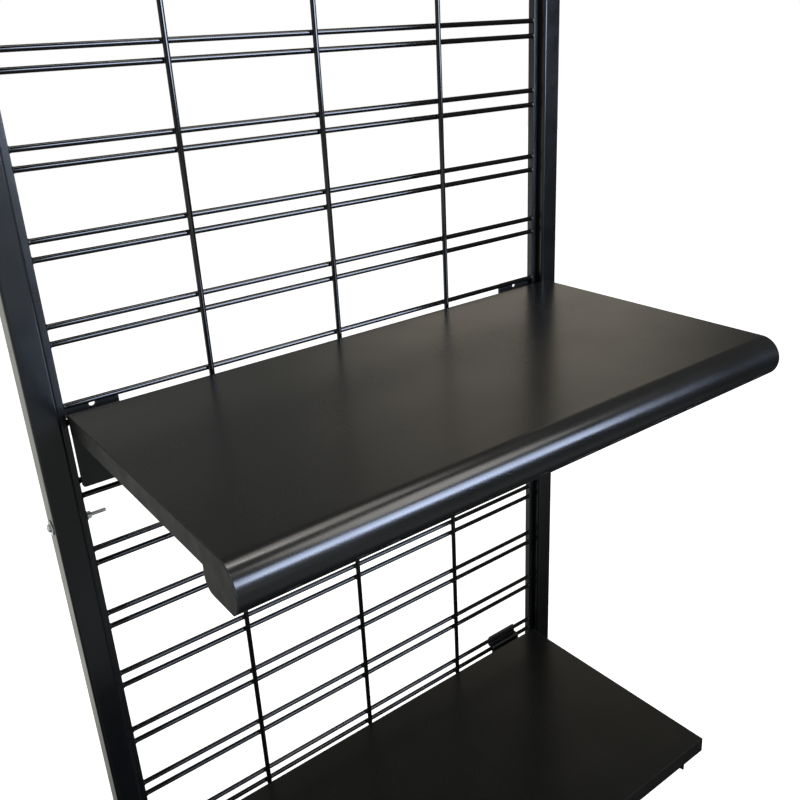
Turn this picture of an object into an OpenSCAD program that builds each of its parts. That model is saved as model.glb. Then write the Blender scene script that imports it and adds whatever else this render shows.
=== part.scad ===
// Grid-back gondola shelving unit: two square posts on levelling legs, a bolted-in
// panel of paired wires, and two black shelves on hooked brackets.
// Millimetres, +Z up, shelves face -Y, origin on the floor at the middle of the footprint.

/* [Frame] */

// Overall height to the top of the post caps
total_h = 1829; // [1400:1:2140]
// Width between the facing sides of the two posts
panel_w = 609.6; // [580:0.1:900]
// Outside width and depth of a post
post_w = 25.4; // [24:0.1:32]
// Wall thickness of a post
post_wall = 1.5; // [1.2:0.1:2]
// Outside corner radius of a post
post_r = 3; // [2.4:0.1:4]
// Distance from the middle of the footprint back to the grid panel
grid_y = 76.2; // [0:0.1:110]

/* [Grid panel] */

// Wire diameter
wire_d = 5.5; // [4.5:0.1:6]
// Spacing of the two wires of a pair
pair_gap = 16.2; // [15.5:0.1:18]
// Spacing from one pair to the next
pair_pitch = 76.2; // [70:0.1:80]
// Height of the lowest pair's upper wire
first_pair_z = 115.6; // [112:0.1:130]
// Spacing of the upright wires
bay_w = 152.4; // [150:0.1:200]
// Width of the bar that the wires are welded to
edge_bar_w = 7.6; // [6:0.1:8]
// Depth of that bar, front to back
edge_bar_d = 9.5; // [9:0.1:12]

/* [Shelves] */

// Length of both shelves
shelf_w = 609.6; // [560:0.1:612]
// Gap from the wires' centres to the rear edge of the upper shelf
upper_gap = 14; // [13.5:0.1:16]
// Thickness of the upper board
upper_t = 19; // [15:0.1:19]
// Depth of the upper board behind its nose
upper_d = 277; // [277:1:290]
// Depth of the rounded nose moulding
nose_d = 50; // [44:1:60]
// Height of the nose moulding
nose_h = 38.1; // [36:0.1:40]
// Slope of the upper shelf in degrees, front edge raised
upper_tilt = 0.3; // [0:0.05:1]
// Sideways shift of the upper shelf
upper_shift = 6; // [-10:0.5:10]
// Wire pair that carries the upper shelf, counted from 0 at the bottom
upper_pair = 12; // [11:1:14]
// Thickness of the lower board
lower_t = 19; // [15:0.1:19]
// Depth of the lower board
lower_d = 296; // [290:1:325]
// Gap from the wires' centres to the rear edge of the lower shelf
lower_gap = 19.5; // [13.5:0.1:20]
// Slope of the lower shelf in degrees, front edge raised
lower_tilt = 1.85; // [0:0.05:2]
// Sideways shift of the lower shelf
lower_shift = -16; // [-17:0.5:10]
// Wire pair that carries the lower shelf
lower_pair = 5; // [3:1:7]

/* [Brackets] */

// Steel thickness of the hook plates and arms
steel_t = 2.5; // [2:0.1:2.8]
// Width of a hook plate
plate_w = 50.8; // [40:0.1:52]
// How far a hook plate reaches below its upper wire
plate_drop = 82.4; // [82:0.1:86]
// Depth of the lower arms from the wires' centres to the tip
arm_reach = 303; // [290:1:304]
// The same for the upper arms, which stop behind the nose
upper_arm_reach = 288; // [260:1:288]
// Height of an arm at its tip
arm_tip_h = 28; // [20:0.5:30]
// Distance of the board's underside below the upper wire
seat_drop = 22.5; // [22:0.1:24]
// Width of the flange under the board
flange_w = 18; // [15:0.5:22]

/* [Base] */

// Length of a leg, front to back
leg_l = 610; // [600:1:700]
// Height of a leg's tube
leg_h = 38.1; // [36:0.1:44]
// Height of the levelling feet below the legs when screwed in
foot_h = 20; // [18:0.5:24]
// Radius of a foot's pad
pad_r = 18; // [14:0.5:20]
// Radius of a foot's threaded stud
stud_r = 5; // [4:0.1:5.5]

/* [Fasteners] */

// Diameter of the bolts that hold the panel to the posts
bolt_d = 4; // [3.5:0.1:4.5]
// Length of thread that shows past the nut's face
bolt_tail = 14.5; // [8:0.5:20]
// Height of the middle bolts
bolt_z = 914.9; // [910:0.1:920]
// Wire pairs between one row of bolts and the next
bolt_step = 9; // [5:1:9]

/* [Hidden] */

$fn = 48;
wire_r = wire_d / 2;
clear = 0.3;
side_x = panel_w / 2;
post_x = side_x + post_w / 2;
outer_x = side_x + post_w;
inner_x = side_x - edge_bar_w;
cap_t = 3;
leg_top = foot_h + leg_h;
post_top = total_h - cap_t;
pair_count = floor((post_top - 34 - first_pair_z) / pair_pitch) + 1;
edge_z0 = 80;
edge_z1 = total_h - 6;
bay_half = ceil(side_x / bay_w) - 1;
upright_y = -wire_d;
edge_y = edge_bar_d / 2 - wire_r;
bolt_y = edge_y / 2;
leg_wall = 1.8;
stub_w = post_w - 2 * post_wall - 1;
stub_h = 100;
stub_bolt_z = leg_top + 52;
band_t = 1;
foot_y = leg_l / 2 - 25;
hook_top = 1;
hook_hole_r = 3;
hook_hole_z = -5.3;
washer_t = 1.2;
washer_r = 7.5;
nut_t = 3.2;
nut_r = 4;
thin_t = 1;
upper_z = first_pair_z + upper_pair * pair_pitch;
lower_z = first_pair_z + lower_pair * pair_pitch;
upper_left_x = -inner_x + 1.2;
upper_right_x = inner_x - plate_w - 0.5;
lower_left_x = -inner_x + 1.2;
lower_right_x = inner_x - plate_w - 25.4;

// Rectangle with round corners, centred.
module rounded_rect(w, h, r) {
    square([w - 2 * r, h], center = true);
    square([w, h - 2 * r], center = true);
    for (sx = [-1, 1], sy = [-1, 1]) {
        translate([sx * (w / 2 - r), sy * (h / 2 - r)]) circle(r);
    }
}

// Ring-shaped section of a rectangular tube.
module tube_section(w, h, wall, r) {
    difference() {
        rounded_rect(w, h, r);
        rounded_rect(w - 2 * wall, h - 2 * wall, r - wall);
    }
}

// Puts a shape drawn in side view (front-to-back, up) across the unit from x = 0.
module across(length) {
    rotate([90, 0, 90]) linear_extrude(length) children();
}

// Round rod along X between two positions.
module rod_x(x0, x1, r) {
    translate([x0, 0, 0]) rotate([0, 90, 0]) cylinder(h = x1 - x0, r = r);
}

// Six-sided prism standing on Z, measured across its flats.
module hex_block(flats, h) {
    intersection_for (a = [0, 60, 120]) {
        rotate([0, 0, a]) translate([-flats / 2, -flats, 0]) cube([flats, 2 * flats, h]);
    }
}

// The height of each row of panel bolts.
function bolt_row(i) = bolt_z + (i - 1) * bolt_step * pair_pitch;

module post() {
    difference() {
        translate([0, grid_y, leg_top]) linear_extrude(post_top - leg_top)
            tube_section(post_w, post_w, post_wall, post_r);
        for (i = [0:2]) {
            translate([-post_w, grid_y + bolt_y, bolt_row(i)]) rod_x(0, 2 * post_w, bolt_d / 2 + 0.25);
        }
        translate([0, grid_y + post_w, stub_bolt_z]) rotate([90, 0, 0])
            cylinder(h = 2 * post_w, r = 3.2);
    }
}

module left_post() {
    color("#1c1d1f") translate([-post_x, 0, 0]) post();
}

module right_post() {
    color("#1c1d1f") translate([post_x, 0, 0]) post();
}

module post_cap() {
    plug_w = post_w - 2 * post_wall - 0.2;
    translate([0, grid_y, post_top]) linear_extrude(cap_t) rounded_rect(post_w, post_w, post_r);
    translate([0, grid_y, post_top - 16]) linear_extrude(16)
        rounded_rect(plug_w, plug_w, post_r - post_wall);
}

module left_post_cap() {
    color("#161616") translate([-post_x, 0, 0]) post_cap();
}

module right_post_cap() {
    color("#161616") translate([post_x, 0, 0]) post_cap();
}

// Flat bar beside the post, drawn for the right side.
module edge_bar() {
    difference() {
        translate([side_x - edge_bar_w / 2, grid_y + edge_y, edge_z0])
            linear_extrude(edge_z1 - edge_z0) rounded_rect(edge_bar_w, edge_bar_d, 1.2);
        for (i = [0:2]) {
            translate([0, grid_y + bolt_y, bolt_row(i)])
                rod_x(inner_x - 5, side_x + 5, bolt_d / 2 + 0.25);
        }
    }
}

module left_edge_bar() {
    color("#1c1d1f") mirror([1, 0, 0]) edge_bar();
}

module right_edge_bar() {
    color("#1c1d1f") edge_bar();
}

module horizontal_wires() {
    color("#101010") for (i = [0:pair_count - 1], g = [0, 1]) {
        translate([0, grid_y, first_pair_z + i * pair_pitch - g * pair_gap])
            rod_x(-inner_x, inner_x, wire_r);
    }
}

module vertical_wires() {
    top_z = first_pair_z + (pair_count - 1) * pair_pitch + 12;
    low_z = first_pair_z - pair_gap - 12;
    color("#101010") for (i = [-bay_half:bay_half]) {
        translate([i * bay_w, grid_y + upright_y, low_z]) cylinder(h = top_z - low_z, r = wire_r);
    }
}

// One bolt of the right side: head outside the post, thread showing inside.
module panel_bolt() {
    head_x = outer_x + washer_t;
    tail_x = inner_x - thin_t - nut_t - bolt_tail;
    rod_x(tail_x, head_x, bolt_d / 2);
    rod_x(head_x, head_x + 1.6, bolt_d);
    rod_x(head_x + 1.6, head_x + 2.6, bolt_d * 0.8);
}

module panel_bolts() {
    color("#b8bcc2") for (s = [0, 1], i = [0:2]) {
        mirror([s, 0, 0]) translate([0, grid_y + bolt_y, bolt_row(i)]) panel_bolt();
    }
}

module panel_washers() {
    color("#b8bcc2") for (s = [0, 1], i = [0:2]) {
        mirror([s, 0, 0]) translate([0, grid_y + bolt_y, bolt_row(i)]) {
            difference() {
                rod_x(outer_x, outer_x + washer_t, washer_r);
                rod_x(outer_x - 1, outer_x + washer_t + 1, bolt_d / 2 + 0.2);
            }
            difference() {
                rod_x(inner_x - thin_t, inner_x, nut_r + 0.6);
                rod_x(inner_x - thin_t - 1, inner_x + 1, bolt_d / 2 + 0.2);
            }
        }
    }
}

module panel_nuts() {
    color("#b8bcc2") for (s = [0, 1], i = [0:2]) {
        mirror([s, 0, 0])
            translate([inner_x - thin_t - nut_t, grid_y + bolt_y, bolt_row(i)])
            difference() {
                rotate([0, 90, 0]) hex_block(2 * nut_r - 1, nut_t);
                rod_x(-1, nut_t + 1, bolt_d / 2 + 0.02);
            }
    }
}

module leg() {
    difference() {
        translate([0, leg_l / 2, foot_h + leg_h / 2]) rotate([90, 0, 0]) linear_extrude(leg_l)
            tube_section(post_w, leg_h, leg_wall, post_r);
        for (s = [-1, 1]) {
            translate([0, s * foot_y, foot_h - 1]) cylinder(h = leg_wall + 2, r = stud_r + 0.05);
        }
    }
}

module left_leg() {
    color("#1c1d1f") translate([-post_x, 0, 0]) leg();
}

module right_leg() {
    color("#1c1d1f") translate([post_x, 0, 0]) leg();
}

module leg_plugs() {
    plug_w = post_w - 2 * leg_wall - 0.2;
    plug_h = leg_h - 2 * leg_wall - 0.2;
    color("#161616") for (sx = [-1, 1], sy = [0, 1]) {
        translate([sx * post_x, 0, foot_h + leg_h / 2]) mirror([0, sy, 0]) {
            translate([0, leg_l / 2 + cap_t, 0]) rotate([90, 0, 0])
                linear_extrude(cap_t) rounded_rect(post_w, leg_h, post_r);
            translate([0, leg_l / 2, 0]) rotate([90, 0, 0])
                linear_extrude(10) rounded_rect(plug_w, plug_h, post_r - leg_wall);
        }
    }
}

// Short tube welded on the leg; the post slides over it.
module stub() {
    difference() {
        translate([0, grid_y, leg_top]) linear_extrude(stub_h)
            tube_section(stub_w, stub_w, 2, 2.5);
        translate([0, grid_y + post_w, stub_bolt_z]) rotate([90, 0, 0])
            cylinder(h = 2 * post_w, r = 3.2);
    }
}

module left_stub() {
    color("#1c1d1f") translate([-post_x, 0, 0]) stub();
}

module right_stub() {
    color("#1c1d1f") translate([post_x, 0, 0]) stub();
}

module stub_bolts() {
    color("#b8bcc2") for (s = [-1, 1]) {
        translate([s * post_x, grid_y - post_w / 2, stub_bolt_z]) {
            rotate([90, 0, 0]) hex_block(10, 4);
            rotate([-90, 0, 0]) cylinder(h = post_w + 9, r = 3);
        }
    }
}

module stub_nuts() {
    color("#b8bcc2") for (s = [-1, 1]) {
        translate([s * post_x, grid_y + post_w / 2, stub_bolt_z]) rotate([-90, 0, 0])
            difference() {
                hex_block(10, 5);
                translate([0, 0, -1]) cylinder(h = 7, r = 3.02);
            }
    }
}

module foot_inserts() {
    color("#b8bcc2") for (sx = [-1, 1], sy = [-1, 1]) {
        translate([sx * post_x, sy * foot_y, foot_h + leg_wall]) difference() {
            cylinder(h = 10, r = 9);
            translate([0, 0, -1]) cylinder(h = 12, r = stud_r + 0.05);
        }
    }
}

// Screw foot: hexagon base and threaded stud.
module foot_screw(sx, sy) {
    pad_h = 9;
    color("#b8bcc2") translate([sx * post_x, sy * foot_y, pad_h]) {
        hex_block(17, foot_h - pad_h - clear);
        cylinder(h = foot_h + 18, r = stud_r);
    }
}

// Round pad under a screw foot, with a chamfered upper edge.
module foot_pad(sx, sy) {
    color("#161616") translate([sx * post_x, sy * foot_y, 0]) {
        cylinder(h = 6, r = pad_r);
        translate([0, 0, 6]) cylinder(h = 3, r1 = pad_r, r2 = pad_r - 5);
    }
}

module front_left_foot() {
    foot_screw(-1, -1);
}

module front_right_foot() {
    foot_screw(1, -1);
}

module rear_left_foot() {
    foot_screw(-1, 1);
}

module rear_right_foot() {
    foot_screw(1, 1);
}

module front_left_pad() {
    foot_pad(-1, -1);
}

module front_right_pad() {
    foot_pad(1, -1);
}

module rear_left_pad() {
    foot_pad(-1, 1);
}

module rear_right_pad() {
    foot_pad(1, 1);
}

// Square with one rounded corner at the origin, used to trim a bend.
module bend_waste(r) {
    difference() {
        translate([-1, -1]) square([r + 1, r + 1]);
        translate([r, r]) circle(r);
    }
}

// Side view of a hook plate about its pair's upper wire: a lip behind that wire,
// a step through the gap, and a plate down the front of the wires.
module hook_side() {
    near_y = wire_r + clear;
    far_y = near_y + steel_t;
    step_z = -pair_gap + wire_r + clear;
    difference() {
        union() {
            translate([near_y, step_z]) square([steel_t, hook_top - step_z]);
            translate([-far_y, step_z]) square([2 * far_y, steel_t]);
            translate([-far_y, -plate_drop]) square([steel_t, plate_drop + step_z + steel_t]);
        }
        translate([far_y, step_z]) mirror([1, 0]) bend_waste(3);
        translate([-far_y, step_z + steel_t]) mirror([0, 1]) bend_waste(3);
    }
}

module hook_plate(x, z) {
    color("#151617") translate([x, grid_y, z]) difference() {
        intersection() {
            across(plate_w) hook_side();
            translate([plate_w / 2, 20, (hook_top - plate_drop) / 2]) rotate([90, 0, 0])
                linear_extrude(40) rounded_rect(plate_w, hook_top + plate_drop, 3);
        }
        translate([plate_w / 2, 0, hook_hole_z]) rotate([-90, 0, 0])
            cylinder(h = 20, r = hook_hole_r);
    }
}

// Tapered arm with a flange on top, welded to the right-hand edge of a hook plate.
// It is drawn from the board's rear lower edge, slopes with the board, and is cut flush
// with the plate's front.
module bracket_arm(x, z, reach, gap, tilt) {
    root_y = gap - (wire_r + clear + steel_t);
    tip_y = gap - reach;
    low_z = seat_drop - plate_drop + 8;
    color("#151617") translate([x, grid_y - gap, z - seat_drop]) difference() {
        rotate([-tilt, 0, 0]) difference() {
            translate([0, 0, -clear]) union() {
                translate([plate_w - steel_t, 0, 0]) across(steel_t) polygon([
                    [root_y + 3, 0],
                    [root_y + 3, low_z],
                    [root_y - 14, low_z],
                    [tip_y, -arm_tip_h],
                    [tip_y, 0]
                ]);
                translate([plate_w - flange_w, tip_y + 3, -steel_t])
                    cube([flange_w, root_y - tip_y - 9.5, steel_t]);
            }
            for (y = [-60, -240]) {
                translate([plate_w - flange_w / 2 - 1.2, y + gap, -10]) cylinder(h = 20, r = 2.3);
            }
        }
        translate([-1, root_y, -plate_drop]) cube([plate_w + 2, 10, 2 * plate_drop]);
    }
}

module upper_left_hook() {
    hook_plate(upper_left_x, upper_z);
}

module upper_left_arm() {
    bracket_arm(upper_left_x, upper_z, upper_arm_reach, upper_gap, upper_tilt);
}

module upper_right_hook() {
    hook_plate(upper_right_x, upper_z);
}

module upper_right_arm() {
    bracket_arm(upper_right_x, upper_z, upper_arm_reach, upper_gap, upper_tilt);
}

module lower_left_hook() {
    hook_plate(lower_left_x, lower_z);
}

module lower_left_arm() {
    bracket_arm(lower_left_x, lower_z, arm_reach, lower_gap, lower_tilt);
}

module lower_right_hook() {
    hook_plate(lower_right_x, lower_z);
}

module lower_right_arm() {
    bracket_arm(lower_right_x, lower_z, arm_reach, lower_gap, lower_tilt);
}

// Side view of the nose: half-round front, flat underside, rounded rear lower corner.
module nose_side() {
    round_r = 21;
    rear_r = 11;
    difference() {
        union() {
            translate([-nose_d + round_r, -nose_h]) square([nose_d - round_r, nose_h]);
            intersection() {
                translate([-nose_d + round_r, -round_r]) circle(round_r, $fn = 96);
                translate([-nose_d - 1, -nose_h]) square([nose_d, nose_h]);
            }
        }
        translate([0, -nose_h]) mirror([1, 0]) bend_waste(rear_r);
    }
}

// Places shelf pieces: x centred, y from the rear edge forwards, z from the board's underside.
module at_upper() {
    translate([upper_shift, grid_y - upper_gap, upper_z - seat_drop])
        rotate([-upper_tilt, 0, 0]) children();
}

module at_lower() {
    translate([lower_shift, grid_y - lower_gap, lower_z - seat_drop])
        rotate([-lower_tilt, 0, 0]) children();
}

module upper_board() {
    color("#18191b") at_upper() translate([-shelf_w / 2 + band_t, -upper_d, 0])
        cube([shelf_w - 2 * band_t, upper_d, upper_t]);
}

module upper_nose() {
    color("#18191b") at_upper() translate([-shelf_w / 2 + band_t, -upper_d, upper_t])
        across(shelf_w - 2 * band_t) nose_side();
}

module upper_end_bands() {
    color("#232426") at_upper() for (x = [-shelf_w / 2, shelf_w / 2 - band_t]) {
        translate([x, 0, 0]) across(band_t) {
            translate([-upper_d, 0]) square([upper_d, upper_t]);
            translate([-upper_d, upper_t]) nose_side();
        }
    }
}

module lower_board() {
    color("#18191b") at_lower() translate([-shelf_w / 2 + band_t, -lower_d + band_t, 0])
        cube([shelf_w - 2 * band_t, lower_d - band_t, lower_t]);
}

module lower_front_band() {
    color("#232426") at_lower() translate([-shelf_w / 2 + band_t, -lower_d, 0])
        cube([shelf_w - 2 * band_t, band_t, lower_t]);
}

module lower_end_bands() {
    color("#232426") at_lower() for (x = [-shelf_w / 2, shelf_w / 2 - band_t]) {
        translate([x, -lower_d, 0]) cube([band_t, lower_d, lower_t]);
    }
}

left_post();
right_post();
left_post_cap();
right_post_cap();
left_edge_bar();
right_edge_bar();
horizontal_wires();
vertical_wires();
panel_bolts();
panel_washers();
panel_nuts();
left_leg();
right_leg();
leg_plugs();
left_stub();
right_stub();
stub_bolts();
stub_nuts();
foot_inserts();
front_left_foot();
front_right_foot();
rear_left_foot();
rear_right_foot();
front_left_pad();
front_right_pad();
rear_left_pad();
rear_right_pad();
upper_left_hook();
upper_left_arm();
upper_right_hook();
upper_right_arm();
lower_left_hook();
lower_left_arm();
lower_right_hook();
lower_right_arm();
upper_board();
upper_nose();
upper_end_bands();
lower_board();
lower_front_band();
lower_end_bands();
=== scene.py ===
"""Looks for the grid-back gondola shelving unit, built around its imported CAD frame."""

import math
import random

import bmesh
import bpy
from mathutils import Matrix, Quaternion, Vector


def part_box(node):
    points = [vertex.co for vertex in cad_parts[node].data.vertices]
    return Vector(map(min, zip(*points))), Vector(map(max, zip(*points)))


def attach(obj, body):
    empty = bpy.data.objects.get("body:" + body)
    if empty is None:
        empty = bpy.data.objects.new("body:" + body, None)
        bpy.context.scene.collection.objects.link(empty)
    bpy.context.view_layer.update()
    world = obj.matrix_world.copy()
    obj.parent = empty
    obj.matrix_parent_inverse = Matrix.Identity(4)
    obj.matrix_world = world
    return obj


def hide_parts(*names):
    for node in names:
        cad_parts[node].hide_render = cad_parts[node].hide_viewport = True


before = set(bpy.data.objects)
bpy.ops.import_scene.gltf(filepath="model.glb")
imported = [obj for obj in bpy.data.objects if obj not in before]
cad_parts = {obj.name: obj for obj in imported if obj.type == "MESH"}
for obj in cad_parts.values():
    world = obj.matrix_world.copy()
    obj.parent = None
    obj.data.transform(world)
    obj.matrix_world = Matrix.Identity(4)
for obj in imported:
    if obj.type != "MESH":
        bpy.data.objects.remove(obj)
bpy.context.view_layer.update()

MM = 0.001

# Sizes in millimetres that the boxes of the CAD nodes don't give.
WIRE_R = 2.75
PAIR_GAP = 16.2
PAIR_PITCH = 76.2
STEEL_T = 2.5
POST_R = 3.0
POST_WALL = 1.5
LEG_WALL = 1.8
BEND_R = STEEL_T / 2 + 0.5   # of a hook plate's centre line
PLATE_DROP = 82.4
SEAT_DROP = 22.5

BOLT_R = 2.0
WASHER_R = 7.5
THIN_WASHER = 1.0
NUT_T = 3.2
BOLT_TAIL = 14.5
BOARD_T = 19.0
UPPER_DEPTH = 277.0
LOWER_DEPTH = 296.0
NOSE_DEPTH = 50.0
NOSE_H = 38.1
NOSE_R = 21.0
ARM_TIP_H = 28.0

# Rear gap from the wires' centres and slope in degrees of each shelf with its arms.
SHELF_GAP = {"upper": 14.0, "lower": 19.5}
SHELF_TILT = {"upper": 0.3, "lower": 1.85}

# Colour sockets of a Mix node.
MIX_A, MIX_B, MIX_RESULT = 6, 7, 2


# ---------------------------------------------------------------- camera, stage, light

def make_camera():
    data = bpy.data.cameras.new("camera")
    data.sensor_width = 36.0
    data.lens = 39.3345
    data.shift_x = -0.009378
    data.shift_y = -0.020728
    camera = bpy.data.objects.new("camera", data)
    camera.location = (-0.47849, -0.70288, 1.33881)
    camera.rotation_euler = [math.radians(a) for a in (67.605, 2.632, -37.357)]
    bpy.context.scene.collection.objects.link(camera)
    bpy.context.scene.camera = camera


def way(azimuth, elevation):
    """Direction from the unit: azimuth 0 is in front of it, 90 to its right."""
    a, e = math.radians(azimuth), math.radians(elevation)
    return (math.sin(a) * math.cos(e), -math.cos(a) * math.cos(e), math.sin(e))


def area_light(name, towards, direction, distance, size, radiance, color, roll=0.0, spread=180.0):
    """Soft box that faces a point and lies in the given direction from it.
    A spread below 180 fits it with a grid."""
    data = bpy.data.lights.new(name, "AREA")
    data.shape = "RECTANGLE"
    data.size, data.size_y = size
    data.energy = radiance * math.pi * size[0] * size[1]
    data.color = color
    data.spread = math.radians(spread)
    light = bpy.data.objects.new(name, data)
    out = Vector(direction).normalized()
    light.location = Vector(towards) + out * distance
    turn = Quaternion((0, 0, 1), math.radians(roll))
    light.rotation_euler = (out.to_track_quat("Z", "Y") @ turn).to_euler()
    bpy.context.scene.collection.objects.link(light)


def make_light():
    """A cool window ahead that draws the line on the nose, and three warmer soft lamps."""
    area_light("window", (0.10, -0.4386, 1.318), way(27, 8), 1.0, (0.98, 0.50), 3.45,
               (0.62, 0.74, 1.0), roll=-12, spread=62)
    area_light("lamp_front", (-0.10, -0.25, 1.0), way(46, 48), 1.6, (0.72, 0.58), 6.0, (1.0, 0.97, 0.92))
    area_light("lamp_rear", (0.0, -0.25, 1.0), way(112, 69), 2.6, (0.85, 0.85), 4.0, (1.0, 0.95, 0.88))
    area_light("lamp_side", (-0.27, 0.076, 1.25), (0.2475, -0.0845, 0.965), 2.5, (0.24, 1.0), 12.0,
               (1.0, 0.98, 0.95))


def smooth_step(tree, value, start, end):
    """0 where the value is at the start, 1 where it is at the end."""
    made = tree.nodes.new("ShaderNodeMapRange")
    made.interpolation_type = "SMOOTHSTEP"
    made.inputs["From Min"].default_value = start
    made.inputs["From Max"].default_value = end
    tree.links.new(value, made.inputs["Value"])
    return made.outputs["Result"]


def add_patch(tree, total, fades, color):
    """Adds a colour where both fades are high, to a colour or to the socket of the sum so far."""
    both = tree.nodes.new("ShaderNodeMath")
    both.operation = "MULTIPLY"
    for socket, fade in zip(both.inputs, fades):
        tree.links.new(fade, socket)
    patch = tree.nodes.new("ShaderNodeMix")
    patch.data_type, patch.blend_type = "RGBA", "ADD"
    tree.links.new(both.outputs[0], patch.inputs["Factor"])
    if isinstance(total, tuple):
        patch.inputs[MIX_A].default_value = (*total, 1)
    else:
        tree.links.new(total, patch.inputs[MIX_A])
    patch.inputs[MIX_B].default_value = (*color, 1)
    return patch.outputs[MIX_RESULT]


def show_by_ray(tree, reflected, seen, output):
    """One shader for the camera's own rays, the other for the light that reaches the unit."""
    path = tree.nodes.new("ShaderNodeLightPath")
    mix = tree.nodes.new("ShaderNodeMixShader")
    tree.links.new(path.outputs["Is Camera Ray"], mix.inputs[0])
    tree.links.new(reflected.outputs[0], mix.inputs[1])
    tree.links.new(seen.outputs[0], mix.inputs[2])
    tree.links.new(mix.outputs[0], tree.nodes.new(output).inputs[0])


def make_world():
    """White to the camera; to the unit, a dim room with a few brighter patches of wall."""
    world = bpy.data.worlds.new("studio")
    bpy.context.scene.world = world
    world.use_nodes = True
    tree = world.node_tree
    tree.nodes.clear()
    new, link = tree.nodes.new, tree.links.new
    coords = new("ShaderNodeTexCoord")
    split = new("ShaderNodeSeparateXYZ")
    link(coords.outputs["Generated"], split.inputs[0])
    height = new("ShaderNodeValToRGB")
    link(split.outputs["Z"], height.inputs[0])
    ramp = height.color_ramp
    ramp.elements[0].position, ramp.elements[0].color = 0.0, (0.06, 0.06, 0.06, 1)
    ramp.elements[1].position, ramp.elements[1].color = 0.95, (0.16, 0.16, 0.15, 1)
    for position, color in ((0.40, (0.09, 0.09, 0.085, 1)), (0.7, (0.13, 0.13, 0.115, 1))):
        ramp.elements.new(position).color = color
    total = height.outputs[0]
    # patches: azimuth, elevation, inner and outer angle, azimuth where they are cut off, colour
    for azimuth, elevation, inner, outer, cut, color in (
            (132, 20, 5, 21, 123, (0.64, 0.57, 0.47)),
            (184, 9, 12, 46, 100, (0.235, 0.24, 0.215)),
            (12, 2, 8, 28, -60, (0.46, 0.51, 0.54)),
            (-95, 25, 20, 75, -185, (0.50, 0.50, 0.50)),
            (90, 0, 6, 24, 0, (0.45, 0.45, 0.45))):
        round_edge = [math.cos(math.radians(a)) for a in (outer, inner)]
        straight_edge = [math.sin(math.radians(a)) for a in (-3, 6)]
        fades = []
        for centre, limits in ((way(azimuth, elevation), round_edge), (way(cut + 90, 0), straight_edge)):
            along = new("ShaderNodeVectorMath")
            along.operation = "DOT_PRODUCT"
            link(coords.outputs["Generated"], along.inputs[0])
            along.inputs[1].default_value = centre
            fades.append(smooth_step(tree, along.outputs["Value"], *limits))
        total = add_patch(tree, total, fades, color)
    room = new("ShaderNodeBackground")
    link(total, room.inputs[0])
    white = new("ShaderNodeBackground")
    white.inputs[0].default_value = (1, 1, 1, 1)
    show_by_ray(tree, room, white, "ShaderNodeOutputWorld")


# ---------------------------------------------------------------- materials

class Finish:
    """A Principled material with procedural colour, roughness and bump."""

    def __init__(self, name):
        self.material = bpy.data.materials.new(name)
        self.material.use_nodes = True
        self.tree = self.material.node_tree
        self.tree.nodes.clear()
        self.shader = self.node("ShaderNodeBsdfPrincipled")
        out = self.node("ShaderNodeOutputMaterial")
        self.link(self.shader.outputs[0], out.inputs[0])
        self.coords = self.node("ShaderNodeTexCoord").outputs["Object"]
        self.bump_end = None

    def node(self, kind, **values):
        made = self.tree.nodes.new(kind)
        for key, value in values.items():
            setattr(made, key, value)
        return made

    def link(self, a, b):
        self.tree.links.new(a, b)

    def set(self, **values):
        for key, value in values.items():
            self.shader.inputs[key.replace("_", " ")].default_value = value

    def stretched(self, scale):
        mapping = self.node("ShaderNodeMapping")
        mapping.inputs["Scale"].default_value = scale
        self.link(self.coords, mapping.inputs[0])
        return mapping.outputs[0]

    def noise(self, scale, detail=2.0, rough=0.5, coords=None):
        made = self.node("ShaderNodeTexNoise")
        made.inputs["Scale"].default_value = scale
        made.inputs["Detail"].default_value = detail
        made.inputs["Roughness"].default_value = rough
        self.link(coords or self.coords, made.inputs["Vector"])
        return made.outputs["Fac"]

    def remap(self, value, lo, hi, to_lo, to_hi):
        made = self.node("ShaderNodeMapRange")
        made.inputs["From Min"].default_value = lo
        made.inputs["From Max"].default_value = hi
        made.inputs["To Min"].default_value = to_lo
        made.inputs["To Max"].default_value = to_hi
        self.link(value, made.inputs["Value"])
        return made.outputs["Result"]

    def math(self, operation, a, b=None):
        made = self.node("ShaderNodeMath", operation=operation)
        for socket, value in zip(made.inputs, (a, b)):
            if isinstance(value, (int, float)):
                socket.default_value = value
            elif value is not None:
                self.link(value, socket)
        return made.outputs[0]

    def blend(self, factor, a, b):
        made = self.node("ShaderNodeMix", data_type="RGBA")
        self.link(factor, made.inputs["Factor"])
        for socket, value in ((made.inputs[MIX_A], a), (made.inputs[MIX_B], b)):
            if isinstance(value, tuple):
                socket.default_value = (*value, 1)
            else:
                self.link(value, socket)
        return made.outputs[MIX_RESULT]

    def bump(self, height, distance):
        """Adds one more layer of bump, its depth in metres."""
        made = self.node("ShaderNodeBump")
        made.inputs["Strength"].default_value = 1.0
        made.inputs["Distance"].default_value = distance
        self.link(height, made.inputs["Height"])
        if self.bump_end is not None:
            self.link(self.bump_end, made.inputs["Normal"])
        self.bump_end = made.outputs[0]

    def edges(self, radius):
        """1 along convex and concave edges, 0 on open faces."""
        bevel = self.node("ShaderNodeBevel", samples=4)
        bevel.inputs["Radius"].default_value = radius
        geometry = self.node("ShaderNodeNewGeometry")
        dot = self.node("ShaderNodeVectorMath", operation="DOT_PRODUCT")
        self.link(bevel.outputs[0], dot.inputs[0])
        self.link(geometry.outputs["Normal"], dot.inputs[1])
        return self.remap(dot.outputs["Value"], 0.995, 0.90, 0.0, 1.0)

    def done(self, color, roughness):
        self.link(color, self.shader.inputs["Base Color"])
        self.link(roughness, self.shader.inputs["Roughness"])
        if self.bump_end is not None:
            self.link(self.bump_end, self.shader.inputs["Normal"])
        return self.material


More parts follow.
